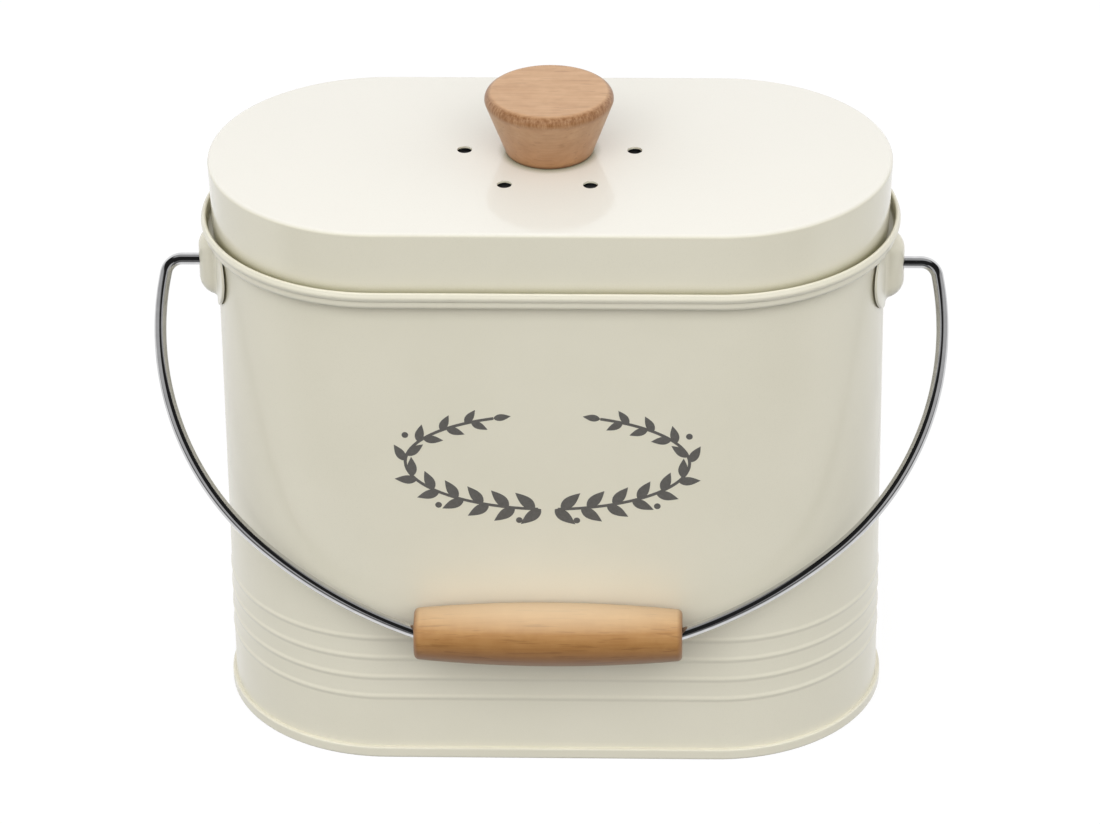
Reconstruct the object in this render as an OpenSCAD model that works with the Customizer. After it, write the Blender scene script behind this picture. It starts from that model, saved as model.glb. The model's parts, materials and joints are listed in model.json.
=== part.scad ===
// Oval kitchen caddy for food scraps, with a lift-off vented lid, a swinging wire bail with a
// turned grip, and a bucket inside that lifts out.
// Millimetres. Z is up, X runs from ear to ear, and the front faces -Y. The origin is the
// middle of the base, at the level that it stands on.

/* [Body] */
// Half of the body's straight length, from its middle to the centre of a round end
half_straight = 65.5; // [45:0.5:110]
// Outer radius of the body's round ends, which is half its depth
wall_r = 65; // [52:0.5:85]
// Height of the ledge near the top that the lid stands on
ledge_z = 206; // [190:1:280]
// Thickness of the coated steel sheet of the body, the base and the lid
sheet = 0.8; // [0.6:0.1:1]
// Inside radius of the ledge's bends
bend_r = 1.2; // [0.8:0.1:1.2]

/* [Rim] */
// Space between the lid's skirt and the rim round it
rim_gap = 1.5; // [1:0.1:3]
// Thickness of the folded hem along the rim
hem_t = 2; // [1.6:0.1:3]
// Height of the hem's outer fold
hem_h = 3.6; // [2.5:0.1:5]
// Height of the rim above the ledge
rim_stand = 6.7; // [6:0.1:12]

/* [Ribs and seams] */
// Number of shallow ribs rolled round the foot of the wall
rib_count = 4; // [0:1:8]
// Height of the lowest rib
rib_first_z = 28; // [12:0.5:60]
// Spacing of the ribs
rib_pitch = 9.1; // [5:0.1:14]
// Width of a rib
rib_w = 3.4; // [2:0.1:4.5]
// Height that a rib stands out
rib_h = 0.45; // [0.2:0.05:0.7]
// Width of the folded lock seam down the back of the body
lock_w = 7; // [4:0.5:12]
// Height that the lock seam stands out of the wall
lock_out = 0.9; // [0.5:0.1:1.5]

/* [Base] */
// Height of the double seam that holds the base on the wall
seam_h = 4.7; // [3:0.1:8]
// Height that the double seam stands out of the wall
seam_out = 1.5; // [1:0.1:2.5]
// Depth of the base panel inside its seam
base_recess = 3; // [1.5:0.1:3.5]

/* [Lid] */
// Distance from the wall's outer face out to the lid's skirt
lid_step = 2.5; // [2.2:0.1:3.5]
// Height of the lid from its lower edge to its top edge
lid_h = 30.6; // [24:0.1:50]
// Height that the lid's top swells from its edge to its middle
lid_crown = 1.5; // [0.5:0.1:2]
// Radius of the lid's top edge
lid_edge_r = 1.4; // [1.4:0.1:5]
// Distance that the skirt's foot is drawn in from its top
skirt_draw = 1; // [0:0.1:1.2]
// Height of the hem folded inside the lid's skirt
skirt_hem_h = 6; // [3:0.5:10]
// Number of vent holes round the knob
vent_count = 6; // [3:1:10]
// Radius of the circle that the vent holes stand on
vent_circle_r = 33; // [28:0.5:40]
// Radius of a vent hole
vent_r = 2.9; // [1.5:0.1:4]

/* [Knob] */
// Height of the turned knob
knob_h = 25.6; // [20:0.2:40]
// Radius of the knob at its widest, near the top
knob_top_r = 25; // [19:0.5:27]
// Radius of the knob's foot
knob_foot_r = 17.1; // [12:0.1:22]
// Radius of the knob's top edge
knob_edge_r = 3.2; // [1:0.2:5]
// Radius of the edge round the knob's foot
knob_foot_edge_r = 1; // [0.5:0.1:3]

/* [Knob fixing] */
// Radius of the screw that comes up through the lid into the knob
screw_r = 2; // [1.5:0.1:2.5]
// Radius of the screw's pan head
screw_head_r = 4; // [3.6:0.1:5]
// Height of the screw's pan head
screw_head_h = 2.6; // [2:0.1:4]
// Radius of the threaded insert in the knob
insert_r = 4; // [3.5:0.1:6]
// Depth of the threaded insert in the knob
insert_h = 12; // [8:0.5:15]
// Radius of the washer under the screw's head
washer_r = 7; // [5.6:0.1:9]
// Thickness of the washer
washer_t = 1; // [0.6:0.1:2]

/* [Filter] */
// Radius of the charcoal filter under the vents
filter_r = 46; // [42:0.5:48]
// Thickness of the charcoal filter
filter_t = 9; // [4:0.5:10]
// Wall thickness of the moulded dish that holds the filter
dish_t = 1.6; // [1.2:0.1:2.4]
// Number of slots in the dish's floor
slot_count = 12; // [6:1:18]
// Width of a slot in the dish's floor
slot_w = 5; // [2:0.5:6]

/* [Inner bucket] */
// Wall thickness of the moulded bucket
bucket_t = 1.8; // [1.2:0.1:2.5]
// Draft of the bucket's wall from its lip to its floor
bucket_draft = 2.6; // [1:0.1:5]
// Radius of the edge round the bucket's floor
bucket_floor_r = 6; // [4:0.5:12]
// Width of the bucket's lip
lip_w = 2.2; // [1.5:0.1:3]
// Height of the bucket's lip
lip_h = 4; // [2:0.5:8]
// Depth of the bucket's lip below the lid ledge
lip_below_ledge = 6; // [3:0.5:20]

/* [Ears] */
// Height of the bail's pivot
pivot_z = 189.8; // [165:0.1:190]
// Radius of the ear's rounded dome, which is how far it stands out
dome_r = 7.9; // [7:0.1:10]
// Length of the dome's straight middle
dome_straight = 13.2; // [8:0.2:14]
// Height of the pivot above the middle of the dome
pivot_rise = 0.2; // [0:0.1:2]
// Half of the width of the oval plate round the dome
plate_half_w = 26.5; // [18:0.5:32]
// Half of the plate's height, before the ledge cuts its top off
plate_half_h = 18.6; // [17:0.1:20]
// Height of the plate's middle above the pivot
plate_rise = 3; // [2:0.1:4]
// Inside radius of the plate's bend round the body, wider than the wall so its ends stand clear
plate_bend_r = 85; // [75:1:110]
// Thickness of the ear's sheet
ear_sheet = 0.9; // [0.7:0.1:1.2]
// Depth that the middle of the plate is welded into the wall
weld_depth = 0.15; // [0.1:0.01:0.2]

/* [Bail] */
// Diameter of the bail's wire
wire_d = 4.8; // [3.5:0.1:5.2]
// Distance from the pivot to the grip's axis
bail_drop = 146.5; // [135:0.5:190]
// Distance that the bail stands out past the ears at its widest
bail_out = 15; // [12:0.5:25]
// Radius of the tight bend beside each ear
ear_bend_r = 6.5; // [5:0.5:8]
// Lean of the wire where it meets the tight bend, past upright
shoulder_lean = 11; // [4:1:20]
// Rise of the wire where it leaves the grip
exit_rise = 18.6; // [8:0.2:24]
// Slope at which the bail's wide lower curve passes into its side curve
side_slope = 40; // [32:1:48]
// Radius of the small bend at each end of the grip
exit_bend_r = 10; // [6:0.5:14]
// Radius of the head on each end of the wire, inside the ear
head_r = 3.6; // [3.2:0.1:4]
// Thickness of that head
head_t = 1.5; // [1:0.1:2]

/* [Grip] */
// Length of the turned grip
grip_len = 104.8; // [80:0.2:120]
// Diameter of the grip at its middle
grip_mid_d = 25; // [22:0.5:32]
// Diameter of the grip at its ends
grip_end_d = 20; // [16:0.5:21]
// Radius of the edge round the grip's ends
grip_edge_r = 2; // [0.5:0.1:3]

/* [Clearances] */
// Clearance round the wire in the ear's hole
pivot_clear = 0.1; // [0.05:0.01:0.3]
// Clearance round the wire in the grip
grip_clear = 0.3; // [0.2:0.05:0.6]
// Clearance between the grip and the wall when the bail is down
rest_clear = 0.3; // [0.2:0.05:1]
// Clearance under the lid's skirt and under the bucket, where they stand
seat_clear = 0.2; // [0.1:0.05:0.4]
// Clearance between the bucket's lip and the wall
bucket_clear = 0.8; // [0.5:0.1:2]
// Clearance between the screw and its insert
thread_clear = 0.05; // [0.02:0.01:0.1]
// Clearance round the screw in the lid, the washer and the dish
screw_clear = 0.3; // [0.2:0.05:0.5]
// Clearance round the charcoal filter in its dish
filter_clear = 0.5; // [0.3:0.1:1]

/* [Hidden] */
$fn = 96;
// Steps in a quarter of a small bend, along the grip's long curve and across half of the lid
bend_steps = 6;
curve_steps = 24;
crown_steps = 8;
// Length that a cutting shape runs past what it cuts
cut_over = 2;

end_x = half_straight + wall_r;
wall_in_r = wall_r - sheet;
lid_r = wall_r + lid_step;
rim_in_r = lid_r + rim_gap;
rim_out_r = rim_in_r + hem_t;
rim_z = ledge_z + rim_stand;
hem_z = rim_z - hem_h;
ledge_under_z = ledge_z - sheet;
// Edges of the double seam, rounder below than above
foot_round = seam_out * 0.7;
top_round = seam_out * 0.4;

base_top_z = base_recess + sheet;
lid_z = ledge_z + seat_clear;
lid_top_z = lid_z + lid_h;
lid_under_z = lid_top_z - sheet;
lid_flat_r = lid_r - lid_edge_r;
lid_mid_z = lid_top_z + lid_crown;
// Radius of the skirt at its foot, and how far it is drawn in at the top of its hem
skirt_foot_r = lid_r - skirt_draw;
hem_draw = skirt_draw * (1 - (skirt_hem_h - sheet) / (lid_h - lid_edge_r - sheet));
// Radius of the arc across the lid's swollen top, and half of its angle
crown_r = (pow(lid_flat_r, 2) + pow(lid_crown, 2)) / (2 * lid_crown);
crown_a = asin(lid_flat_r / crown_r);

hub_r = screw_r + screw_clear + dish_t;
dish_in_r = filter_r + filter_clear;
dish_r = dish_in_r + dish_t;
dish_z = lid_under_z - filter_t - filter_clear - dish_t;
slot_in_r = hub_r + 2 * dish_t + washer_r / 2;
slot_out_r = filter_r - 2 * dish_t;
hub_top_z = lid_mid_z - sheet - thread_clear;
screw_top_z = lid_mid_z + insert_h - screw_r / 2;
recess_r = screw_head_r / 2;
recess_w = screw_head_r / 4;

// Heading of the knob's side, which runs straight between its two rounded edges
knob_way = [
    knob_top_r - knob_edge_r - knob_foot_r + knob_foot_edge_r,
    knob_h - knob_edge_r - knob_foot_edge_r
];
knob_side_a = atan2(knob_way[1], knob_way[0])
    - acos((knob_foot_edge_r - knob_edge_r) / norm(knob_way));

lip_r = wall_in_r - bucket_clear;
bucket_top_r = lip_r - lip_w;
bucket_low_r = bucket_top_r - bucket_draft;
bucket_z = base_top_z + seat_clear;
lip_z = ledge_z - lip_below_ledge;

dome_z = pivot_z - pivot_rise;
ear_back_x = end_x - weld_depth;
ear_face_x = ear_back_x + dome_r;
plate_z = pivot_z + plate_rise;
plate_top_z = ledge_under_z - bend_r;
plate_low_z = plate_z - plate_half_h;
plate_h = min(2 * plate_half_h, plate_top_z - plate_low_z);
plate_turn = 2 * asin(plate_half_w / plate_bend_r) + 2;
plate_depth = plate_bend_r - sqrt(pow(plate_bend_r, 2) - pow(plate_half_w, 2));

wire_r = wire_d / 2;
grip_mid_r = grip_mid_d / 2;
grip_end_r = grip_end_d / 2;
bail_lean = asin((wall_r + grip_mid_r + rest_clear) / bail_drop);
bail_half_w = ear_face_x + bail_out;

// The bail's centreline in its own plane, as headings from 0 along the grip to 180 at the ear
exit_run = exit_bend_r * sin(exit_rise);
exit_lift = exit_bend_r * (1 - cos(exit_rise));
straight_end = grip_len / 2 - exit_run;
shoulder_heading = 90 + shoulder_lean;
// The two long curves meet at side_slope. Their radii follow from the bail's width and drop.
width_left = bail_half_w - straight_end - exit_run;
drop_left = bail_drop - exit_lift - ear_bend_r * (1 + cos(shoulder_heading));
low_w = sin(side_slope) - sin(exit_rise);
low_d = cos(exit_rise) - cos(side_slope);
side_w = 1 - sin(side_slope);
side_d = cos(side_slope) - cos(shoulder_heading);
curve_det = low_w * side_d - side_w * low_d;
low_curve_r = (width_left * side_d - side_w * drop_left) / curve_det;
side_curve_r = (low_w * drop_left - low_d * width_left) / curve_det;
shoulder_x = bail_half_w - side_curve_r * (1 - sin(shoulder_heading));
pin_x = shoulder_x - ear_bend_r * sin(shoulder_heading);
low_centre = [
    straight_end + exit_run - low_curve_r * sin(exit_rise),
    exit_lift - bail_drop + low_curve_r * cos(exit_rise)
];
side_centre = [
    bail_half_w - side_curve_r,
    side_curve_r * cos(shoulder_heading) - ear_bend_r * (1 + cos(shoulder_heading))
];
// Where one length of the wire passes into the next, as [place, heading]. A short sleeve, a
// hair thicker than the wire, joins the two lengths there.
sleeve_out = 0.05;
sleeve_len = 0.8;
sleeve_gap = 0.1;
wire_joints = [
    [[straight_end, -bail_drop], 0],
    [[straight_end + exit_run, exit_lift - bail_drop], exit_rise],
    [low_centre + low_curve_r * [sin(side_slope), -cos(side_slope)], side_slope],
    [side_centre + side_curve_r * [sin(shoulder_heading), -cos(shoulder_heading)],
     shoulder_heading],
    [[pin_x, 0], 180]
];
head_x = ear_back_x + sqrt(pow(dome_r - ear_sheet, 2) - pow(head_r, 2)) - pivot_clear - head_t;

// Points along an arc about [cx, cy], from angle a0 to a1
function arc(cx, cy, r, a0, a1, steps = bend_steps) = [
    for (i = [0:steps])
        let (a = a0 + (a1 - a0) * i / steps)
        [cx + r * cos(a), cy + r * sin(a)]
];

// Radius of the circle of a rib's outer face, from its width and height
rib_circle_r = (pow(rib_w / 2, 2) + pow(rib_h, 2)) / (2 * rib_h);
rib_angle = asin(rib_w / 2 / rib_circle_r);

// The ribs' outline on a face at radius r, from the lowest to the highest
function ribs_outline(r) = [
    for (i = [0:1:rib_count - 1])
        let (z = rib_first_z + i * rib_pitch)
        each arc(r + rib_h - rib_circle_r, z, rib_circle_r, -rib_angle, rib_angle)
];

function reversed(points) = [for (i = [len(points) - 1:-1:0]) points[i]];

// Sweeps a profile of [distance from an end's centre, height] round the oval
module oval_sweep() {
    for (side = [0, 1])
        mirror([side, 0, 0])
            translate([half_straight, 0, 0])
                rotate_extrude(angle = 180, start = -90)
                    children();
    for (side = [0, 1])
        mirror([0, side, 0])
            translate([-half_straight, 0, 0])
                rotate([90, 0, 90])
                    linear_extrude(2 * half_straight)
                        children();
}

// Wall with rolled ribs, a ledge for the lid, and a rim folded outwards into a hem
module body_shell() {
    hem_round = hem_t / 2;
    color("antiquewhite") {
        oval_sweep()
            polygon(concat(
                [[wall_r, sheet]],
                ribs_outline(wall_r),
                arc(wall_r + bend_r, ledge_under_z - bend_r, bend_r, 180, 90),
                arc(rim_in_r - bend_r, ledge_z + bend_r, bend_r + sheet, -90, 0),
                [[rim_in_r + sheet, hem_z]],
                arc(rim_out_r - sheet / 2, hem_z + sheet / 2, sheet / 2, -90, 0),
                arc(rim_in_r + hem_round, rim_z - hem_round, hem_round, 0, 180),
                arc(rim_in_r - bend_r, ledge_z + bend_r, bend_r, 0, -90),
                arc(wall_r + bend_r, ledge_under_z - bend_r, bend_r + sheet, 90, 180),
                reversed(ribs_outline(wall_in_r)),
                [[wall_in_r, sheet]]
            ));
        lock_seam();
    }
}

// The folded seam that closes the wall's sheet, down the middle of the back
module lock_seam() {
    translate([-lock_w / 2, wall_r - sheet / 2, seam_h])
        cube([lock_w, sheet / 2 + lock_out, ledge_under_z - seam_h]);
}

// Recessed base panel, its edge folded round the wall's lower edge
module base_pan() {
    seam_r = wall_r + seam_out;
    color("antiquewhite")
        oval_sweep()
            polygon(concat(
                [[0, base_recess], [wall_in_r - sheet, base_recess], [wall_in_r - sheet, 0]],
                arc(seam_r - foot_round, foot_round, foot_round, -90, 0),
                arc(seam_r - top_round, seam_h - top_round, top_round, 0, 90),
                [[wall_r, seam_h], [wall_r, sheet], [wall_in_r, sheet]],
                [[wall_in_r, base_top_z], [0, base_top_z]]
            ));
}

// Half of a capsule that stands out towards +X, or all of it
module capsule(r, turn) {
    rotate_extrude(angle = turn, start = -90)
        polygon(concat(
            arc(0, -dome_straight / 2, r, -90, 0),
            arc(0, dome_straight / 2, r, 0, 90)
        ));
}

// Oval plate of the +X ear, bent round the end of the body
module ear_plate() {
    outline = [
        for (i = [1:2 * curve_steps])
            let (a = 180 * i / curve_steps)
            [plate_half_w * cos(a), plate_z + plate_half_h * sin(a)]
    ];
    intersection() {
        translate([ear_back_x - plate_bend_r, 0, plate_low_z])
            rotate_extrude(angle = plate_turn, start = -plate_turn / 2)
                translate([plate_bend_r, 0])
                    square([ear_sheet, plate_h]);
        translate([ear_back_x - plate_depth - ear_sheet, 0, 0])
            rotate([90, 0, 90])
                linear_extrude(plate_depth + 3 * ear_sheet)
                    polygon(outline);
    }
}

// Pressed ear on the +X end: the plate, with a hollow dome that has the bail's hole
module ear() {
    color("antiquewhite")
        difference() {
            union() {
                ear_plate();
                translate([ear_back_x, 0, dome_z])
                    capsule(dome_r, 180);
            }
            translate([ear_back_x, 0, dome_z])
                capsule(dome_r - ear_sheet, 360);
            translate([ear_back_x + dome_r / 2, 0, pivot_z])
                rotate([0, 90, 0])
                    cylinder(r = wire_r + pivot_clear, h = dome_r);
        }
}

module ear_right() {
    ear();
}

module ear_left() {
    mirror([1, 0, 0])
        ear();
}

// Places what is drawn in the bail's plane, with the pivot at its origin and the grip below
module in_bail_plane() {
    translate([0, 0, pivot_z])
        rotate([90 - bail_lean, 0, 0])
            children();
}

// Wire bent about a centre, between two headings of its path
module bent_wire(centre, r, from, to) {
    trim = sleeve_gap / r * 180 / PI;
    translate(centre)
        rotate_extrude(angle = to - from - 2 * trim, start = from - 90 + trim)
            translate([r, 0])
                circle(r = wire_r);
}

// Straight wire along X, starting at a point of the bail's plane
module straight_wire(start, length, r = wire_r) {
    translate(start)
        rotate([0, 90, 0])
            cylinder(r = r, h = length);
}

// Right half of the bail, from the middle of the grip to its head inside the ear
module half_bail() {
    straight_wire([0, -bail_drop], straight_end - sleeve_gap);
    bent_wire([straight_end, exit_bend_r - bail_drop], exit_bend_r, 0, exit_rise);
    bent_wire(low_centre, low_curve_r, exit_rise, side_slope);
    bent_wire(side_centre, side_curve_r, side_slope, shoulder_heading);
    bent_wire([pin_x, -ear_bend_r], ear_bend_r, shoulder_heading, 180);
    straight_wire([head_x, 0], pin_x - sleeve_gap - head_x);
    straight_wire([head_x, 0], head_t, head_r);
    for (joint = wire_joints)
        translate(joint[0])
            rotate([0, 90, joint[1]])
                cylinder(r = wire_r + sleeve_out, h = sleeve_len, center = true);
}

// Polished wire bail with a headed end held in each ear
module bail_wire() {
    color("dimgray")
        in_bail_plane()
            for (side = [0, 1])
                mirror([side, 0, 0])
                    half_bail();
}

// Turned barrel grip that turns on the wire, its bore widened where the wire bends away
module grip() {
    half_len = grip_len / 2;
    swell = grip_mid_r - grip_end_r;
    curve_r = (pow(half_len, 2) + pow(swell, 2)) / (2 * swell);
    edge_a = asin((half_len - grip_edge_r) / (curve_r - grip_edge_r));
    edge_c = grip_mid_r - curve_r + (curve_r - grip_edge_r) * cos(edge_a);
    bore_r = wire_r + grip_clear;
    mouth_r = bore_r / cos(exit_rise) + exit_lift + grip_clear;
    mouth_depth = exit_run + wire_r;
    color("burlywood")
        in_bail_plane()
            translate([0, -bail_drop, 0])
                rotate([0, 90, 0])
                    rotate_extrude()
                        polygon(concat(
                            [[bore_r, mouth_depth - half_len], [mouth_r, -half_len]],
                            arc(edge_c, grip_edge_r - half_len, grip_edge_r, -90, -edge_a),
                            arc(grip_mid_r - curve_r, 0, curve_r, -edge_a, edge_a, curve_steps),
                            arc(edge_c, half_len - grip_edge_r, grip_edge_r, edge_a, 90),
                            [[mouth_r, half_len], [bore_r, half_len - mouth_depth]]
                        ));
}

// One face of the lid's swollen top, from its middle to near its edge
function crown(depth) = [
    for (i = [0:crown_steps - 1])
        let (a = crown_a * i / crown_steps)
        [(crown_r - depth) * sin(a), lid_mid_z - crown_r + (crown_r - depth) * cos(a)]
];

// Drawn lid: a gently swollen, vented top with a rounded edge, and a narrowing skirt hemmed
// at its foot
module lid() {
    hole_h = sheet + lid_crown + 2 * cut_over;
    color("ivory")
        difference() {
            oval_sweep()
                polygon(concat(
                    crown(sheet),
                    arc(lid_flat_r, lid_top_z - lid_edge_r, lid_edge_r - sheet, 90, 0),
                    [[lid_r - hem_draw - sheet, lid_z + skirt_hem_h]],
                    [[lid_r - hem_draw - 2 * sheet, lid_z + skirt_hem_h]],
                    arc(skirt_foot_r - sheet, lid_z + sheet, sheet, 180, 360),
                    arc(lid_flat_r, lid_top_z - lid_edge_r, lid_edge_r, 0, 90),
                    reversed(crown(0))
                ));
            for (i = [0:vent_count - 1])
                rotate([0, 0, i * 360 / vent_count])
                    translate([vent_circle_r, 0, lid_under_z - cut_over])
                        cylinder(r = vent_r, h = hole_h);
            translate([0, 0, lid_under_z - cut_over])
                cylinder(r = screw_r + screw_clear, h = hole_h);
        }
}

// Turned knob, wider at its flat top, bored from below for its insert
module knob() {
    color("tan")
        translate([0, 0, lid_mid_z])
            rotate_extrude()
                polygon(concat(
                    [[insert_r, insert_h], [insert_r, 0]],
                    arc(knob_foot_r - knob_foot_edge_r, knob_foot_edge_r,
                        knob_foot_edge_r, -90, knob_side_a),
                    arc(knob_top_r - knob_edge_r, knob_h - knob_edge_r,
                        knob_edge_r, knob_side_a, 90),
                    [[0, knob_h], [0, insert_h]]
                ));
}

// Threaded brass insert pressed into the knob
module knob_insert() {
    color("goldenrod")
        translate([0, 0, lid_mid_z])
            difference() {
                cylinder(r = insert_r, h = insert_h);
                translate([0, 0, -cut_over])
                    cylinder(r = screw_r + thread_clear, h = insert_h + 2 * cut_over);
            }
}

// Pan-head screw that holds the dish, the lid and the knob together
module knob_screw() {
    head_z = dish_z - washer_t - screw_head_h;
    color("silver")
        difference() {
            translate([0, 0, head_z])
                rotate_extrude()
                    polygon(concat(
                        [[0, 0]],
                        arc(screw_head_r - screw_head_h / 2, screw_head_h / 2,
                            screw_head_h / 2, -90, 0),
                        [[screw_head_r, screw_head_h], [screw_r, screw_head_h]],
                        [[screw_r, screw_top_z - head_z], [0, screw_top_z - head_z]]
                    ));
            for (a = [0, 90])
                rotate([0, 0, a])
                    translate([-recess_r, -recess_w / 2, head_z - cut_over])
                        cube([2 * recess_r, recess_w, cut_over + screw_head_h / 2]);
        }
}

module knob_washer() {
    color("silver")
        translate([0, 0, dish_z - washer_t])
            difference() {
                cylinder(r = washer_r, h = washer_t);
                translate([0, 0, -cut_over])
                    cylinder(r = screw_r + screw_clear, h = washer_t + 2 * cut_over);
            }
}

// Moulded dish with a slotted floor that holds the filter against the lid
module filter_dish() {
    color("darkgray")
        difference() {
            translate([0, 0, dish_z])
                rotate_extrude()
                    polygon([
                        [screw_r + screw_clear, 0],
                        [dish_r, 0],
                        [dish_r, lid_under_z - dish_z],
                        [dish_in_r, lid_under_z - dish_z],
                        [dish_in_r, dish_t],
                        [hub_r, dish_t],
                        [hub_r, hub_top_z - dish_z],
                        [screw_r + screw_clear, hub_top_z - dish_z]
                    ]);
            for (i = [0:slot_count - 1])
                rotate([0, 0, (i + 0.5) * 360 / slot_count])
                    translate([slot_in_r, -slot_w / 2, dish_z - cut_over])
                        cube([slot_out_r - slot_in_r, slot_w, dish_t + 2 * cut_over]);
        }
}

// Felt disc loaded with charcoal, under the vent holes
module charcoal_filter() {
    color("black")
        translate([0, 0, dish_z + dish_t])
            difference() {
                cylinder(r = filter_r, h = filter_t);
                translate([0, 0, -cut_over])
                    cylinder(r = hub_r + filter_clear, h = filter_t + 2 * cut_over);
            }
}

// Moulded bucket with a drafted wall and a lip, which stands on the base panel
module inner_bucket() {
    low_c = bucket_low_r - bucket_floor_r;
    lip_round = bucket_t / 2;
    color("dimgray")
        oval_sweep()
            polygon(concat(
                [[0, bucket_z]],
                arc(low_c, bucket_z + bucket_floor_r, bucket_floor_r, -90, 0),
                [[bucket_top_r, lip_z - lip_h - lip_w], [lip_r, lip_z - lip_h]],
                arc(lip_r - lip_round, lip_z - lip_round, lip_round, 0, 90),
                [[bucket_top_r - bucket_t, lip_z]],
                arc(low_c, bucket_z + bucket_floor_r, bucket_floor_r - bucket_t, 0, -90),
                [[0, bucket_z + bucket_t]]
            ));
}

body_shell();
base_pan();
ear_left();
ear_right();
bail_wire();
grip();
lid();
knob();
knob_insert();
knob_screw();
knob_washer();
filter_dish();
charcoal_filter();
inner_bucket();
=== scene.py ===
"""Looks of an oval compost caddy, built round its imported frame. Lengths are in metres."""
import json
import math

import bmesh
import bpy
from mathutils import Matrix, Vector


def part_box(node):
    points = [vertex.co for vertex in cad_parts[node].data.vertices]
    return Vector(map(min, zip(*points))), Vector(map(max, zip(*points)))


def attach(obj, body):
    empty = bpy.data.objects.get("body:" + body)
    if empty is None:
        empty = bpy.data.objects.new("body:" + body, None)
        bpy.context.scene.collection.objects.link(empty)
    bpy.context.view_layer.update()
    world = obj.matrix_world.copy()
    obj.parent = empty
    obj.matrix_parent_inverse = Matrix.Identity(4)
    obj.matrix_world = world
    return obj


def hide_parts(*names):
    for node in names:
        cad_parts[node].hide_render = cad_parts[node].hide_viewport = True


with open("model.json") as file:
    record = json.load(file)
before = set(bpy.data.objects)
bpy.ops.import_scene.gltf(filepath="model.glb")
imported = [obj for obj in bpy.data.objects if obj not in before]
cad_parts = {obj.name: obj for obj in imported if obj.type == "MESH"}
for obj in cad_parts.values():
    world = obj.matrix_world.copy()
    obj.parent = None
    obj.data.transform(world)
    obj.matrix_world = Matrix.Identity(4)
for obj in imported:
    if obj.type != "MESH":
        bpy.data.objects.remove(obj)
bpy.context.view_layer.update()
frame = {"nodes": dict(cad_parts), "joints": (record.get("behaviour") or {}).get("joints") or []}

MM = 0.001
SHARP_ANGLE = math.radians(38)

# Sizes that the frame gives
shell_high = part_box("body_shell")[1]
base_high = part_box("base_pan")[1]
lid_low, lid_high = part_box("lid")
ear_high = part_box("ear_right")[1]
bail_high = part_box("bail_wire")[1]
grip_low, grip_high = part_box("grip")
knob_low, knob_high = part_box("knob")
insert_low, insert_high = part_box("knob_insert")
bucket_low, bucket_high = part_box("inner_bucket")
filter_low, filter_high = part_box("charcoal_filter")
joints = {joint["name"]: joint for joint in frame["joints"]}
PIVOT = Vector(joints["bail_swing"]["pos_m"])
GRIP_AXIS = Vector(joints["grip_spin"]["pos_m"])

# Sheet metal
HALF = shell_high.x - shell_high.y
RIM_R = shell_high.y
RIM_Z = shell_high.z
LID_R = lid_high.y
LID_CROWN = 1.5 * MM
LID_TOP = lid_high.z - LID_CROWN
SEAM_R = base_high.y
SEAM_H = base_high.z
SHEET = 0.8 * MM
BEND_R = 1.2 * MM
HEM_T = 2 * MM
HEM_H = 3.6 * MM
HEM_BULGE = 0.4 * MM
LEDGE_Z = lid_low.z - 0.2 * MM
WALL_R = LID_R - 2.5 * MM
RIB_FIRST_Z = 28 * MM
RIB_PITCH = 9.1 * MM
RIB_COUNT = 4
RIB_W = 3.4 * MM
RIB_H = 0.33 * MM
LOCK_W = 7 * MM
LOCK_OUT = 0.9 * MM
LOCK_EDGE_R = 0.4 * MM
LOCK_GAP = 0.05 * MM
BASE_RECESS = 3 * MM
BASE_FOLD_R = 0.35 * MM
SEAM_FOOT_R = 1.05 * MM
SEAM_TOP_R = 0.6 * MM
LID_EDGE_R = 1.4 * MM
SKIRT_HEM_H = 6 * MM
SKIRT_DRAW = 1 * MM
VENT_COUNT = 6
VENT_CIRCLE_R = 33 * MM
VENT_R = 2.9 * MM
SCREW_HOLE_R = 2.3 * MM
LID_CUT_REACH = 3 * MM

# Ears
EAR_SHEET = 0.9 * MM
EAR_BACK = HALF + WALL_R - 0.15 * MM
DOME_R = ear_high.x - EAR_BACK
DOME_STRAIGHT = 13.2 * MM
DOME_Z = PIVOT.z - 0.2 * MM
DOME_FILLET = 2.2 * MM
PLATE_HALF_W = ear_high.y
PLATE_HALF_H = 18.6 * MM
PLATE_Z = PIVOT.z + 3 * MM
PLATE_TOP_Z = LEDGE_Z - SHEET - BEND_R
PLATE_BEND_R = 85 * MM
EAR_EDGE_R = 0.35 * MM
EAR_HOLE_R = 2.5 * MM

# Bail and grip
WIRE_R = 2.4 * MM
BAIL_HALF_W = bail_high.x - WIRE_R
BAIL_DROP = (GRIP_AXIS - PIVOT).length
EXIT_BEND_R = 10 * MM
EXIT_RISE = math.radians(18.6)
SIDE_SLOPE = math.radians(40)
SHOULDER_HEADING = math.radians(101)
EAR_BEND_R = 6.5 * MM
GRIP_HALF = grip_high.x
GRIP_MID_R = (grip_high.z - grip_low.z) / 2
GRIP_END_R = 10 * MM
GRIP_EDGE_R = 2 * MM
GRIP_BORE_R = 2.7 * MM
GRIP_MOUTH_R = 3.7 * MM
GRIP_MOUTH_DEPTH = 5 * MM
HEAD_R = 3.6 * MM
HEAD_T = 1.5 * MM
HEAD_X = EAR_BACK + 4.4 * MM
LEAST_STEP = 0.05 * MM

# Knob
KNOB_Z = knob_low.z
KNOB_H = knob_high.z - knob_low.z
KNOB_TOP_R = knob_high.x
KNOB_FOOT_R = 17.1 * MM
KNOB_EDGE_R = 3.2 * MM
KNOB_FOOT_EDGE_R = 1 * MM

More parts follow.
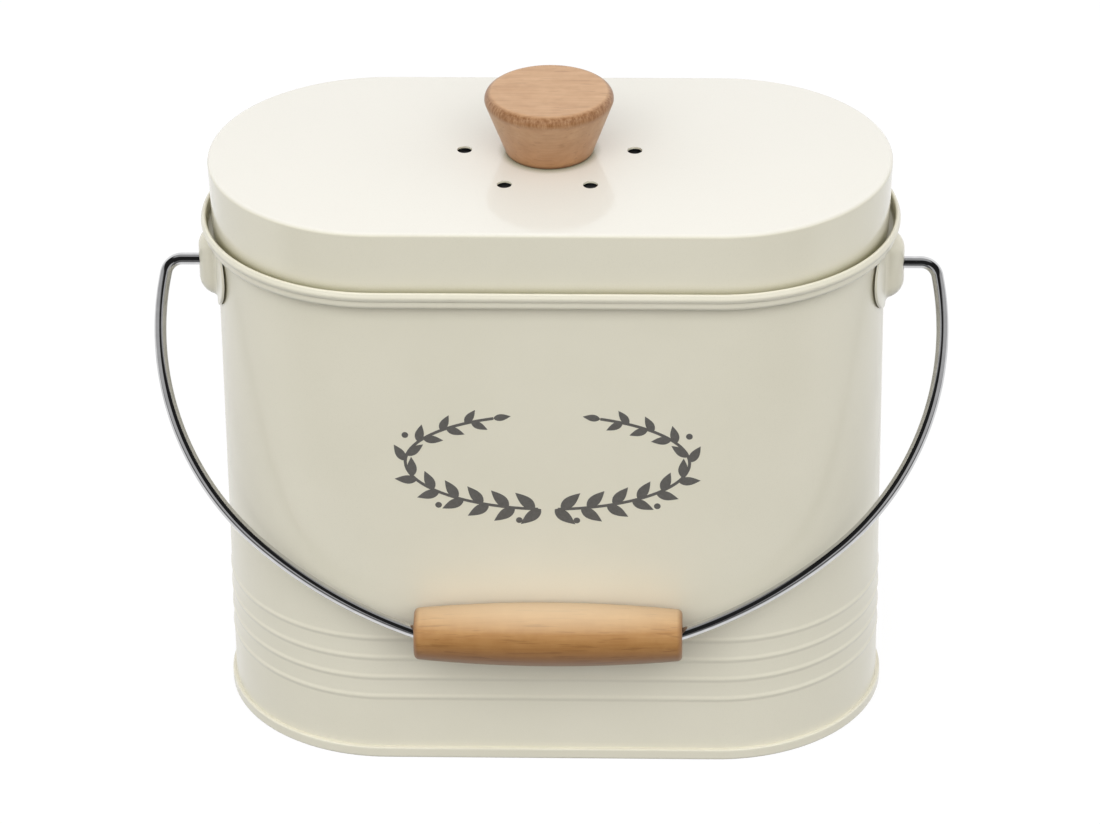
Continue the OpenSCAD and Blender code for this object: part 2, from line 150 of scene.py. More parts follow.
# Bucket and filter
BUCKET_T = 1.8 * MM
BUCKET_DRAFT = 2.6 * MM
BUCKET_FLOOR_R = 6 * MM
LIP_W = 2.2 * MM
LIP_H = 4 * MM
LIP_R = bucket_high.y
LIP_Z = bucket_high.z
FELT_EDGE_R = 1.2 * MM
FELT_RING_W = 39.8 * MM

# Light
LIT_POINT = (0, 0, 0.12)
TOP_PLACE = (0, -0.35, 2.1)
TOP_SIZE = (1.4, 1.0)
FRONT_PLACE = (-0.05, -1.8, 1.65)
FRONT_SIZE = (4.0, 1.8)
WORLD_FILL = 0.16
SIDE_FILL = 1.5
REAR_FILL = 1.0
SIDE_GLOSS = 0.55
REAR_GLOSS = 1.1
TOP_GLOSS = 0.45
TOP_POWER = 2.5
FRONT_POWER = 54

# Fades of the world by direction: reflected backdrop, cards and ceiling, then the fill
FRONT_GLOSS = 0.02
REAR_EDGE = (0.2, 0.45)
CARD_EDGE = (0.2, 0.27)
CARD_TOP = (0.6, 0.5)
CEILING_EDGE = (0.86, 0.93)
SIDE_SPAN = (0.3, 1.0)
REAR_SPAN = (0.2, 0.9)

# Floor: where its white fades out of reflections, and how white it is
FLOOR_HALF = 6.0
FLOOR_STEPS = 12
FLOOR_HIDDEN_Y = -0.24
FLOOR_SHOWN_Y = -0.15
FLOOR_GLOW = 0.91

# Fineness of the meshes
END_STEPS = 64
STRAIGHT_STEPS = 12
BEND_STEPS = 8
TURN_STEPS = 96
ROD_STEPS = 48
GRIP_STEPS = 40
WIRE_SIDES = 24
BAIL_ARC_STEPS = (6, 36, 60, 24)
SUPPORT = 0.3 * MM


def arc(cx, cy, radius, start, end, steps=BEND_STEPS):
    """Points along an arc in a profile's plane, angles in degrees."""
    angles = [math.radians(start + (end - start) * i / steps) for i in range(steps + 1)]
    return [(cx + radius * math.cos(a), cy + radius * math.sin(a)) for a in angles]


def supported(profile, closed):
    """The profile with a point close to each end of its long straight runs, so that flat faces
    stay flat when they are shaded smooth."""
    out = []
    count = len(profile)
    for i, point in enumerate(profile):
        out.append(point)
        if not closed and i == count - 1:
            break
        other = profile[(i + 1) % count]
        length = math.dist(point, other)
        if length > 4 * SUPPORT:
            share = SUPPORT / length
            for t in (share, 1 - share):
                out.append(tuple(a + (b - a) * t for a, b in zip(point, other)))
    return out


def oval_ring(radius, height):
    """One closed oval at a radius from the centres of the ends, anticlockwise."""
    points = []
    for side, start in ((1, -90), (-1, 90)):
        for x, y in arc(side * HALF, 0, radius, start, start + 180, END_STEPS):
            points.append((x, y, height))
        for i in range(1, STRAIGHT_STEPS):
            x = side * HALF * (1 - 2 * i / STRAIGHT_STEPS)
            points.append((x, side * radius, height))
    return points


def skin(name, rings, loop=False, caps=False):
    """A mesh object over rings with equal numbers of points. loop joins the last to the first,
    and caps closes both ends."""
    bm = bmesh.new()
    rows = [[bm.verts.new(p) for p in ring] for ring in rings]
    pairs = list(zip(rows, rows[1:])) + ([(rows[-1], rows[0])] if loop else [])
    for a, b in pairs:
        for i in range(len(a)):
            j = (i + 1) % len(a)
            bm.faces.new((a[i], a[j], b[j], b[i]))
    if caps:
        bm.faces.new(rows[0][::-1])
        bm.faces.new(rows[-1])
    bmesh.ops.remove_doubles(bm, verts=bm.verts, dist=1e-7)
    bmesh.ops.dissolve_degenerate(bm, edges=bm.edges, dist=1e-8)
    bmesh.ops.recalc_face_normals(bm, faces=bm.faces)
    return from_bmesh(name, bm)


def from_bmesh(name, bm):
    """A piece from a bmesh, smooth but for its sharp angles."""
    mesh = bpy.data.meshes.new(name)
    bm.to_mesh(mesh)
    bm.free()
    mesh.shade_smooth()
    mesh.set_sharp_from_angle(angle=SHARP_ANGLE)
    piece = bpy.data.objects.new(name, mesh)
    bpy.context.scene.collection.objects.link(piece)
    return piece


def oval_sweep(name, profile, closed=True):
    """A profile of (radius, height) swept round the oval."""
    points = supported(profile, closed)
    return skin(name, [oval_ring(r, z) for r, z in points], loop=closed)


def revolve(name, profile, place, closed=False):
    """A profile of (radius, along) turned round a line. place(radius, angle, along) gives the
    point."""
    points = supported(profile, closed)
    angles = [2 * math.pi * i / TURN_STEPS for i in range(TURN_STEPS)]
    rings = [[place(r, a, s) for a in angles] for r, s in points]
    return skin(name, rings, loop=closed)


def cut(piece, cutters):
    """Takes the cutters out of the piece's mesh and deletes them."""
    for i, cutter in enumerate(cutters):
        modifier = piece.modifiers.new(f"cut_{i}", "BOOLEAN")
        modifier.operation = "DIFFERENCE"
        modifier.solver = "EXACT"
        modifier.object = cutter
    graph = bpy.context.evaluated_depsgraph_get()
    mesh = bpy.data.meshes.new_from_object(piece.evaluated_get(graph))
    piece.modifiers.clear()
    piece.data = mesh
    mesh.shade_smooth()
    mesh.set_sharp_from_angle(angle=SHARP_ANGLE)
    for cutter in cutters:
        bpy.data.objects.remove(cutter)


def settle(piece, material, body, slot, *nodes):
    """Gives a piece its finish and its body, and lets it stand for CAD nodes."""
    piece.data.materials.clear()
    piece.data.materials.append(material)
    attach(piece, body)
    if nodes:
        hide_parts(*nodes)


# Materials

# Reach of the painted shade in crevices, and the turn that makes the growth rings run along the
# grain
CREVICE_REACH = 4 * MM
RING_TURN = (0, 0, math.radians(90))


class Nodes:
    """A node tree, with short ways to add nodes to it."""

    def __init__(self, tree):
        self.tree = tree

    def node(self, kind, **inputs):
        node = self.tree.nodes.new("ShaderNode" + kind)
        for socket, value in inputs.items():
            self.feed(node.inputs[socket.replace("_", " ")], value)
        return node

    def feed(self, socket, value):
        if isinstance(value, bpy.types.NodeSocket):
            self.tree.links.new(value, socket)
        else:
            socket.default_value = value

    def math(self, operation, *values):
        node = self.node("Math")
        node.operation = operation
        for socket, value in zip(node.inputs, values):
            self.feed(socket, value)
        return node.outputs["Value"]

    def fade(self, value, start, end, low=0.0, high=1.0, smooth=False):
        """A value that runs from low to high between two values of another."""
        node = self.node("MapRange", Value=value, From_Min=start, From_Max=end, To_Min=low,
                         To_Max=high)
        if smooth:
            node.interpolation_type = "SMOOTHSTEP"
        return node.outputs["Result"]


class Shader(Nodes):
    """A material under construction, with its Principled shader."""

    def __init__(self, name, **values):
        self.material = bpy.data.materials.new(name)
        self.material.use_nodes = True
        super().__init__(self.material.node_tree)
        self.surface = self.tree.nodes["Principled BSDF"]
        self.coordinates = self.tree.nodes.new("ShaderNodeTexCoord")
        for socket, value in values.items():
            self.surface.inputs[socket.replace("_", " ")].default_value = value

    def stretched(self, scale, turn=(0, 0, 0)):
        """The object's own coordinates, scaled by axis."""
        node = self.node("Mapping", Vector=self.coordinates.outputs["Object"])
        node.inputs["Scale"].default_value = scale
        node.inputs["Rotation"].default_value = turn
        return node.outputs["Vector"]

    def noise(self, scale, detail=3, roughness=0.5, vector=None):
        vector = vector or self.coordinates.outputs["Object"]
        node = self.node("TexNoise", Vector=vector, Scale=scale, Detail=detail,
                         Roughness=roughness)
        return node.outputs["Fac"]

    def ramp(self, value, *stops):
        """A colour ramp of (place, colour or grey) stops."""
        node = self.node("ValToRGB", Fac=value)
        elements = node.color_ramp.elements
        while len(elements) < len(stops):
            elements.new(0.5)
        for element, (place, colour) in zip(elements, stops):
            element.position = place
            element.color = (*colour, 1) if isinstance(colour, tuple) else (colour,) * 3 + (1,)
        return node.outputs["Color"]

    def range(self, value, low, high):
        return self.fade(value, 0.0, 1.0, low, high)

    def place(self):
        """The object's own coordinates, split by axis."""
        return self.node("SeparateXYZ", Vector=self.coordinates.outputs["Object"]).outputs

    def mix(self, factor, a, b, blend="MIX"):
        node = self.tree.nodes.new("ShaderNodeMix")
        node.data_type = "RGBA"
        node.blend_type = blend
        for socket, value in zip(("Factor_Float", "A_Color", "B_Color"), (factor, a, b)):
            target = next(s for s in node.inputs if s.identifier == socket)
            self.feed(target, (*value, 1) if isinstance(value, tuple) else value)
        return next(s for s in node.outputs if s.identifier == "Result_Color")

    def bump(self, height, distance, strength):
        node = self.node("Bump", Height=height, Strength=strength, Distance=distance)
        return node.outputs["Normal"]

    def set(self, **sockets):
        for socket, value in sockets.items():
            self.feed(self.surface.inputs[socket.replace("_", " ")], value)
        return self.material


def paint(name, light, dark, top, coat, coat_roughness, crevice, shut, open_air):
    """Glossy powder coat: a faint orange peel, a slow, barely visible change of tone, a paler
    top that is a painted highlight on faces turned upwards, and painted shade, a darker, yellower
    tone in crevices, where the ambient occlusion runs from shut, the darkest, to open_air."""
    s = Shader(name, Coat_Weight=coat, Coat_Roughness=coat_roughness, Specular_IOR_Level=0.2)
    tone = s.ramp(s.noise(22, 4, 0.55), (0.3, dark), (0.7, light))
    # Painted highlight: faces turned upwards are mixed towards the paler top colour.
    facing = s.node("SeparateXYZ", Vector=s.coordinates.outputs["Normal"])
    tone = s.mix(s.fade(facing.outputs["Z"], 0.25, 0.9), tone, top)
    speck = s.ramp(s.noise(2600, 2, 0.6), (0.3, 0.95), (0.42, 1.0))
    tone = s.mix(1.0, tone, speck, "MULTIPLY")
    # Painted shade: where the ambient occlusion finds a crevice, the colour is darkened towards
    # the crevice colour.
    hollow = s.node("AmbientOcclusion", Distance=CREVICE_REACH)
    hollow.samples = 8
    painted_crevice_shade = s.ramp(hollow.outputs["AO"], (shut, crevice), (open_air, 1.0))
    peel = s.noise(420, 2, 0.45)
    return s.set(
        Base_Color=s.mix(1.0, tone, painted_crevice_shade, "MULTIPLY"),
        Roughness=s.range(s.noise(90, 3), 0.34, 0.46),
        Normal=s.bump(peel, 0.00004, 0.3),
        Coat_Normal=s.bump(peel, 0.00003, 0.25),
    )


def wood(name, light, dark, fleck, along, fleck_depth):
    """Oiled beech. along is the scale by axis, small along the grain."""
    s = Shader(name, Coat_Weight=0.4, Coat_Roughness=0.32, Specular_IOR_Level=0.3)
    grain = s.stretched(along)
    warp = s.noise(0.35, 2, 0.5, grain)
    rings = s.node("TexWave", Vector=s.stretched((along[0] * 0.6, along[1], along[2]), RING_TURN),
                   Scale=0.16, Distortion=3.2, Detail=3, Detail_Scale=1.4)
    ring_tone = s.ramp(rings.outputs["Fac"], (0.15, 0.0), (0.85, 1.0))
    fibre = s.noise(2.6, 5, 0.65, grain)
    ripple = s.noise(150, 2, 0.6)
    tone = s.mix(s.range(warp, 0.0, 1.0), light, dark)
    tone = s.mix(s.range(ring_tone, 0.0, 0.32), tone, dark)
    tone = s.mix(1.0, tone, s.ramp(fibre, (0.3, (0.94, 0.88, 0.81)), (0.62, 1.04)), "MULTIPLY")
    tone = s.mix(1.0, tone, s.ramp(ripple, (0.35, (0.96, 0.93, 0.9)), (0.65, 1.04)), "MULTIPLY")
    dash = s.stretched(tuple(3.2 * a if a < 100 else 2.2 * a for a in along))
    flecks = s.ramp(s.noise(1.0, 2, 0.5, dash), (0.6, 0.0), (0.68, 1.0))
    tone = s.mix(s.range(flecks, 0.0, fleck_depth), tone, fleck)
    return s, tone, fibre


def finish_wood(s, tone, fibre):
    return s.set(
        Base_Color=tone,
        Roughness=s.range(fibre, 0.4, 0.56),
        Normal=s.bump(fibre, 0.00008, 0.45),
    )


def barrel_wood():
    """The grip's beech, paler on top as a painted highlight, browner underneath as painted
    shade, and browner at the handled ends.
    """
    s, tone, fibre = wood("grip_wood", (0.55, 0.315, 0.12), (0.43, 0.225, 0.075),
                          (0.29, 0.135, 0.04), (17, 360, 360), 0.5)
    place = s.place()
    middle = GRIP_AXIS.z
    # Painted shade: the lower half of the grip is darkened towards brown.
    under = s.fade(place["Z"], middle - 0.3 * GRIP_MID_R, middle + 0.6 * GRIP_MID_R)
    tone = s.mix(1.0, tone, s.mix(under, (0.58, 0.49, 0.38), (1, 1, 1)), "MULTIPLY")
    # Painted highlight: the top of the grip is lightened towards a pale tan.
    painted_top_light = s.fade(place["Z"], middle + 0.5 * GRIP_MID_R, middle + 1.0 * GRIP_MID_R)
    tone = s.mix(s.range(painted_top_light, 0.0, 0.7), tone, (0.82, 0.64, 0.43))
    end = s.fade(s.math("ABSOLUTE", place["X"]), GRIP_HALF - 2.2 * MM, GRIP_HALF)
    return finish_wood(s, s.mix(s.range(end, 0.0, 0.85), tone, (0.28, 0.13, 0.05)), fibre)


def turned_wood():
    """The knob's beech, with painted shade on its side and towards its foot, darker in short
    ticks along its rounded top edge, and with a painted contact shadow at its foot."""
    s, tone, fibre = wood("knob_wood", (0.66, 0.42, 0.24), (0.5, 0.295, 0.155),
                          (0.27, 0.125, 0.055), (26, 380, 380), 0.28)
    place = s.place()
    flat = s.node("CombineXYZ", X=place["X"], Y=place["Y"])
    reach = s.node("VectorMath")
    reach.operation = "LENGTH"
    s.feed(reach.inputs[0], flat.outputs["Vector"])
    # Painted shade: the side below the top edge is darkened.
    side = s.fade(place["Z"], knob_high.z - 1.2 * MM, knob_high.z - 4 * MM)
    tone = s.mix(1.0, tone, s.mix(side, (1, 1, 1), (0.76, 0.74, 0.74)), "MULTIPLY")
    # Painted shade: the knob darkens and browns towards its foot.
    height = s.fade(place["Z"], KNOB_Z + 2 * MM, KNOB_Z + 16 * MM)
    tone = s.mix(1.0, tone, s.mix(height, (0.88, 0.76, 0.62), (1, 1, 1)), "MULTIPLY")
    edge = s.fade(reach.outputs["Value"], KNOB_TOP_R - 2.6 * MM, KNOB_TOP_R - 1.2 * MM)
    low = s.fade(place["Z"], knob_high.z - 5.4 * MM, knob_high.z - 3 * MM)
    ticks = s.ramp(s.noise(1.0, 3, 0.7, s.stretched((900, 900, 260))), (0.3, 0.35), (0.6, 1.0))
    rim = s.mix(1.0, s.mix(1.0, edge, low, "MULTIPLY"), ticks, "MULTIPLY")
    tone = s.mix(s.range(rim, 0.0, 0.95), tone, (0.23, 0.095, 0.028))
    # Painted shadow: a dark line at the foot, where the knob meets the lid.
    foot = s.fade(place["Z"], KNOB_Z + 1.8 * MM, KNOB_Z + 0.6 * MM)
    return finish_wood(s, s.mix(s.range(foot, 0.0, 0.85), tone, (0.13, 0.055, 0.02)), fibre)


def polished_wire(name):
    """Bright drawn wire with a fine, faint grain."""
    s = Shader(name, Metallic=1.0)
    drawn = s.noise(1400, 3, 0.6)
    return s.set(
        Base_Color=s.ramp(s.noise(240, 3), (0.3, (0.56, 0.56, 0.57)), (0.7, (0.64, 0.64, 0.65))),
        Roughness=s.range(drawn, 0.03, 0.06),
        Normal=s.bump(drawn, 0.00001, 0.3),
    )


def metal(name, light, dark, rough_low, rough_high):
    """Machined or plated metal with a fine grain."""
    s = Shader(name, Metallic=1.0)
    grain = s.noise(1800, 3, 0.6)
    return s.set(
        Base_Color=s.ramp(s.noise(300, 3), (0.3, dark), (0.7, light)),
        Roughness=s.range(grain, rough_low, rough_high),
        Normal=s.bump(grain, 0.00002, 0.4),
    )


def moulded(name, light, dark):
    """Matt moulded plastic with a fine spark-eroded texture."""
    s = Shader(name)
    texture = s.noise(1500, 3, 0.55)
    return s.set(
        Base_Color=s.ramp(s.noise(35, 4), (0.3, dark), (0.7, light)),
        Roughness=s.range(texture, 0.42, 0.6),
        Normal=s.bump(texture, 0.00004, 0.5),
    )


def felt(name):
    """Needled felt loaded with charcoal."""
    s = Shader(name, Roughness=0.95)
    fibres = s.noise(1100, 6, 0.75)
    return s.set(
        Base_Color=s.ramp(fibres, (0.35, (0.03, 0.03, 0.031)), (0.75, (0.085, 0.085, 0.088))),
        Normal=s.bump(fibres, 0.0006, 0.9),
    )


def ink(name):
    """Screen-printed ink, slightly uneven."""
    s = Shader(name, Roughness=0.5)
    patch = s.noise(900, 4, 0.7)
    return s.set(
        Base_Color=s.ramp(patch, (0.3, (0.105, 0.1, 0.092)), (0.7, (0.135, 0.13, 0.12))),
        Normal=s.bump(patch, 0.00002, 0.4),
    )


CREAM_LIGHT = (0.81, 0.775, 0.64)
CREAM_DARK = (0.785, 0.752, 0.615)
# The third cream is a painted highlight: the paler colour that the lid's upward faces take.
CREAM_PAINTED_LIT_TOP = (0.835, 0.81, 0.735)
# The last three values of each paint set its painted shade in crevices: its colour, then the
# occlusion from darkest to open air.
body_paint = paint("body_paint", CREAM_LIGHT, CREAM_DARK, CREAM_LIGHT, 0.8, 0.24,
                   (0.72, 0.71, 0.6), 0.03, 0.4)
lid_paint = paint("lid_paint", CREAM_LIGHT, CREAM_DARK, CREAM_PAINTED_LIT_TOP, 0.9, 0.1,
                  (0.5, 0.49, 0.36), 0.3, 0.9)
grip_wood = barrel_wood()
knob_wood = turned_wood()
wire_metal = polished_wire("wire_metal")
zinc = metal("zinc_plate", (0.62, 0.63, 0.65), (0.5, 0.51, 0.53), 0.22, 0.36)
brass = metal("brass", (0.72, 0.55, 0.26), (0.6, 0.44, 0.2), 0.2, 0.34)
dish_plastic = moulded("dish_plastic", (0.105, 0.108, 0.11), (0.085, 0.088, 0.09))
bucket_plastic = moulded("bucket_plastic", (0.163, 0.168, 0.168), (0.148, 0.153, 0.153))
charcoal_felt = felt("charcoal_felt")
print_ink = ink("print_ink")


# Sheet-metal body

def rib_run(radius):
    """The ribs' rounded outline on a wall at a radius, upwards."""
    points = []
    steps = 2 * BEND_STEPS
    for k in range(RIB_COUNT):
        z = RIB_FIRST_Z + k * RIB_PITCH
        for i in range(steps + 1):
            t = 2 * i / steps - 1
            out = radius + RIB_H * (0.5 + 0.5 * math.cos(math.pi * t))
            points.append((out, z + t * RIB_W / 2))
    return points


def body_profile():
    wall_in = WALL_R - SHEET
    under = LEDGE_Z - SHEET
    rim_in = RIM_R - HEM_T
    roll = (HEM_T - HEM_BULGE) / 2
    lip = SHEET / 2
    low, high = RIM_Z - HEM_H + lip, RIM_Z - roll
    fold = [(RIM_R - HEM_BULGE * (2 * t - 1) ** 2, low + (high - low) * t)
            for t in (i / BEND_STEPS for i in range(1, BEND_STEPS))]
    return (
        [(WALL_R, SHEET)]
        + rib_run(WALL_R)
        + arc(WALL_R + BEND_R, under - BEND_R, BEND_R, 180, 90)
        + arc(rim_in - BEND_R, LEDGE_Z + BEND_R, BEND_R + SHEET, -90, 0)
        + [(rim_in + SHEET, low - lip)]
        + arc(RIM_R - HEM_BULGE - lip, low, lip, -90, 0, 4)
        + fold
        + arc(rim_in + roll, high, roll, 0, 180, 2 * BEND_STEPS)
        + arc(rim_in - BEND_R, LEDGE_Z + BEND_R, BEND_R, 0, -90)
        + arc(WALL_R + BEND_R, under - BEND_R, BEND_R + SHEET, 90, 180)
        + rib_run(wall_in)[::-1]
        + [(wall_in, SHEET)]
    )


def base_profile():
    wall_in = WALL_R - SHEET
    top = BASE_RECESS + SHEET
    fold = BASE_FOLD_R
    return (
        [(0, BASE_RECESS)]
        + arc(wall_in - SHEET - fold, BASE_RECESS - fold, fold, 90, 0)
        + arc(wall_in - SHEET + fold, fold, fold, 180, 270)
        + arc(SEAM_R - SEAM_FOOT_R, SEAM_FOOT_R, SEAM_FOOT_R, -90, 0)
        + arc(SEAM_R - SEAM_TOP_R, SEAM_H - SEAM_TOP_R, SEAM_TOP_R, 0, 90)
        + [(WALL_R, SEAM_H), (WALL_R, SHEET), (wall_in, SHEET), (wall_in, top), (0, top)]
    )


def lock_seam():
    """The folded seam down the back, as a flat strip with rounded long edges."""
    half = LOCK_W / 2
    edge = LOCK_EDGE_R
    out = WALL_R + LOCK_OUT
    inside = WALL_R - SHEET / 2
    outline = (
        [(half, inside)]
        + arc(half - edge, out - edge, edge, 0, 90)
        + arc(-half + edge, out - edge, edge, 90, 180)
        + [(-half, inside)]
    )
    low, high = SEAM_H + LOCK_GAP, LEDGE_Z - SHEET
    return skin("lock_seam", [[(x, y, z) for x, y in outline] for z in (low, high)], caps=True)


def crown_run(depth):
    """One face of the lid's swollen top, from its middle to near its edge."""
    flat = LID_R - LID_EDGE_R
    radius = (flat ** 2 + LID_CROWN ** 2) / (2 * LID_CROWN)
    steps = 2 * BEND_STEPS
    angles = [math.asin(flat / radius) * i / steps for i in range(steps)]
    return [((radius - depth) * math.sin(a),
             LID_TOP + LID_CROWN - radius + (radius - depth) * math.cos(a)) for a in angles]


def lid_profile():
    corner = (LID_R - LID_EDGE_R, LID_TOP - LID_EDGE_R)
    foot = lid_low.z
    hem_draw = SKIRT_DRAW * (1 - (SKIRT_HEM_H - SHEET) / (corner[1] - foot - SHEET))
    inside = LID_R - hem_draw - SHEET
    return (
        crown_run(SHEET)
        + arc(*corner, LID_EDGE_R - SHEET, 90, 0)
        + [(inside, foot + SKIRT_HEM_H), (inside - SHEET, foot + SKIRT_HEM_H)]
        + arc(LID_R - SKIRT_DRAW - SHEET, foot + SHEET, SHEET, 180, 360, 2 * BEND_STEPS)
        + arc(*corner, LID_EDGE_R, 0, 90)
        + crown_run(0)[::-1]
    )


def rod(name, radius, start, end):
    """A straight round cutter between two points."""
    axis = (Vector(end) - Vector(start)).normalized()
    side = axis.orthogonal().normalized()
    other = axis.cross(side)
    rings = []
    for centre in (Vector(start), Vector(end)):
        ring = []
        for i in range(ROD_STEPS):
            a = 2 * math.pi * i / ROD_STEPS
            ring.append(centre + radius * (math.cos(a) * side + math.sin(a) * other))
        rings.append(ring)
    return skin(name, rings, caps=True)


def build_body():
    settle(oval_sweep("body_sheet", body_profile()), body_paint, "body", "body_paint",
           "body_shell")
    settle(oval_sweep("base_sheet", base_profile(), closed=False), body_paint, "body",
           "body_paint", "base_pan")
    settle(lock_seam(), body_paint, "body", "body_paint")


def build_lid():
    panel = oval_sweep("lid_sheet", lid_profile(), closed=False)
    cutters = []
    for i in range(VENT_COUNT):
        a = 2 * math.pi * i / VENT_COUNT
        x, y = VENT_CIRCLE_R * math.cos(a), VENT_CIRCLE_R * math.sin(a)
        cutters.append(rod(f"vent_cutter_{i}", VENT_R, (x, y, LID_TOP - LID_CUT_REACH),
                           (x, y, LID_TOP + LID_CUT_REACH)))
    cutters.append(rod("screw_cutter", SCREW_HOLE_R, (0, 0, LID_TOP - LID_CUT_REACH),
                       (0, 0, LID_TOP + LID_CUT_REACH)))
    cut(panel, cutters)
    settle(panel, lid_paint, "lid", "lid_paint", "lid")


# Ears

def ear_ring(half_w, half_h, low_z, high_z, lift, side):
    """A ring round the ear: an oval or an upright slot, lifted off the plate's bent back."""
    points = []
    for centre, start in ((low_z, 180), (high_z, 0)):
        for c, s in arc(0, 0, 1, start, start + 180, 3 * BEND_STEPS):
            y = half_w * c
            back = EAR_BACK - PLATE_BEND_R + math.sqrt(PLATE_BEND_R ** 2 - y ** 2)
            points.append((side * (back + lift), y, centre + half_h * s))
    return points


def ear_rings(side):
    """Rings from the outside of the dome over the plate and its back into the dome's hollow."""
    dome = (DOME_Z - DOME_STRAIGHT / 2, DOME_Z + DOME_STRAIGHT / 2)
    plate = (PLATE_HALF_W, PLATE_HALF_H, PLATE_Z, PLATE_Z)
    edge = EAR_EDGE_R
    meet = math.asin((EAR_SHEET + DOME_FILLET) / (DOME_R + DOME_FILLET))
    foot_r = (DOME_R + DOME_FILLET) * math.cos(meet)
    hollow_r = DOME_R - EAR_SHEET
    outside = (
        arc(0, 0, DOME_R, 90, math.degrees(meet), 3 * BEND_STEPS)
        + arc(foot_r, EAR_SHEET + DOME_FILLET, DOME_FILLET, math.degrees(meet) - 180, -90)
    )
    inside = arc(0, 0, hollow_r, 0, 90, 3 * BEND_STEPS)

    def slot(r, lift):
        return ear_ring(max(r, 0), max(r, 0), *dome, lift, side)

    def between(r, t, lift):
        start = (r, r, *dome)
        shape = [a + (b - a) * t for a, b in zip(start, plate)]
        return ear_ring(*shape, lift, side)

    rings = [slot(r, lift) for r, lift in outside]
    rings += [between(foot_r, t, EAR_SHEET) for t in (0.2, 0.4, 0.6, 0.8, 0.95)]
    for r, lift in arc(-edge, EAR_SHEET - edge, edge, 90, 0, 4):
        rings.append(ear_ring(plate[0] + r, plate[1] + r, *plate[2:], lift, side))
    rings += [between(hollow_r, t, 0) for t in (1, 0.8, 0.6, 0.4, 0.2)]
    rings += [slot(r, lift) for r, lift in inside]
    return rings


def block(name, low, high):
    """A square cutter between two corners."""
    corners = [(low.x, low.y), (high.x, low.y), (high.x, high.y), (low.x, high.y)]
    return skin(name, [[(x, y, z) for x, y in corners] for z in (low.z, high.z)], caps=True)


def build_ears():
    for side, name in ((1, "ear_right"), (-1, "ear_left")):
        ear = skin(name + "_pressing", ear_rings(side))
        hole = rod("ear_cutter", EAR_HOLE_R,
                   (side * (EAR_BACK + DOME_R / 2), 0, PIVOT.z),
                   (side * (EAR_BACK + 2 * DOME_R), 0, PIVOT.z))
        reach = Vector((2 * DOME_R, 2 * PLATE_HALF_W, 2 * PLATE_HALF_H))
        middle = Vector((side * EAR_BACK, 0, PLATE_TOP_Z + reach.z))
        cut(ear, [hole, block("top_cutter", middle - reach, middle + reach)])
        settle(ear, body_paint, "body", "body_paint", name)


# Bail

def bail_path():
    """The right half of the wire's centreline as (across, up) in the bail's plane."""
    exit_run = EXIT_BEND_R * math.sin(EXIT_RISE)
    exit_lift = EXIT_BEND_R * (1 - math.cos(EXIT_RISE))
    straight_end = GRIP_HALF - exit_run
    width = BAIL_HALF_W - GRIP_HALF
    drop = BAIL_DROP - exit_lift - EAR_BEND_R * (1 + math.cos(SHOULDER_HEADING))
    low_w = math.sin(SIDE_SLOPE) - math.sin(EXIT_RISE)
    low_d = math.cos(EXIT_RISE) - math.cos(SIDE_SLOPE)
    side_w = 1 - math.sin(SIDE_SLOPE)
    side_d = math.cos(SIDE_SLOPE) - math.cos(SHOULDER_HEADING)
    det = low_w * side_d - side_w * low_d
    low_r = (width * side_d - side_w * drop) / det
    side_r = (low_w * drop - low_d * width) / det
    path = [(0.0, -BAIL_DROP), (straight_end / 2, -BAIL_DROP)]
    place = Vector((straight_end, -BAIL_DROP))
    headings = (0, EXIT_RISE, SIDE_SLOPE, SHOULDER_HEADING, math.pi)
    for radius, start, end, steps in zip(
        (EXIT_BEND_R, low_r, side_r, EAR_BEND_R), headings, headings[1:], BAIL_ARC_STEPS
    ):
        centre = place + radius * Vector((-math.sin(start), math.cos(start)))
        for i in range(steps + 1):
            h = start + (end - start) * i / steps
            path.append(tuple(centre + radius * Vector((math.sin(h), -math.cos(h)))))
        place = Vector(path[-1])
    path += [(HEAD_X + HEAD_T, 0.0)]
    clean = [path[0]]
    for point in path[1:]:
        if math.dist(point, clean[-1]) > LEAST_STEP:
            clean.append(point)
    return clean


def build_bail():
    up = (PIVOT - GRIP_AXIS).normalized()
    right = bail_path()
    head = [(HEAD_X + HEAD_T, 0.0), (HEAD_X, 0.0)]
    half = [(x, u, WIRE_R) for x, u in right] + [(x, u, HEAD_R) for x, u in head]
    path = [(-x, u, r) for x, u, r in half[:0:-1]] + half
    centres = [PIVOT + Vector((x, 0, 0)) + u * up for x, u, r in path]
    plane_normal = Vector((1, 0, 0)).cross(up)
    rings = []
    for i, (centre, radius) in enumerate(zip(centres, (r for x, u, r in path))):
        before = centres[max(i - 1, 0)]
        after = centres[min(i + 1, len(centres) - 1)]
        along = (after - before).normalized()
        across = plane_normal.cross(along)
        ring = []
        for k in range(WIRE_SIDES):
            a = 2 * math.pi * k / WIRE_SIDES
            ring.append(centre + radius * (math.cos(a) * across + math.sin(a) * plane_normal))
        rings.append(ring)
    settle(skin("bail_steel", rings, caps=True), wire_metal, "bail", "wire_steel", "bail_wire")


# Turned wood

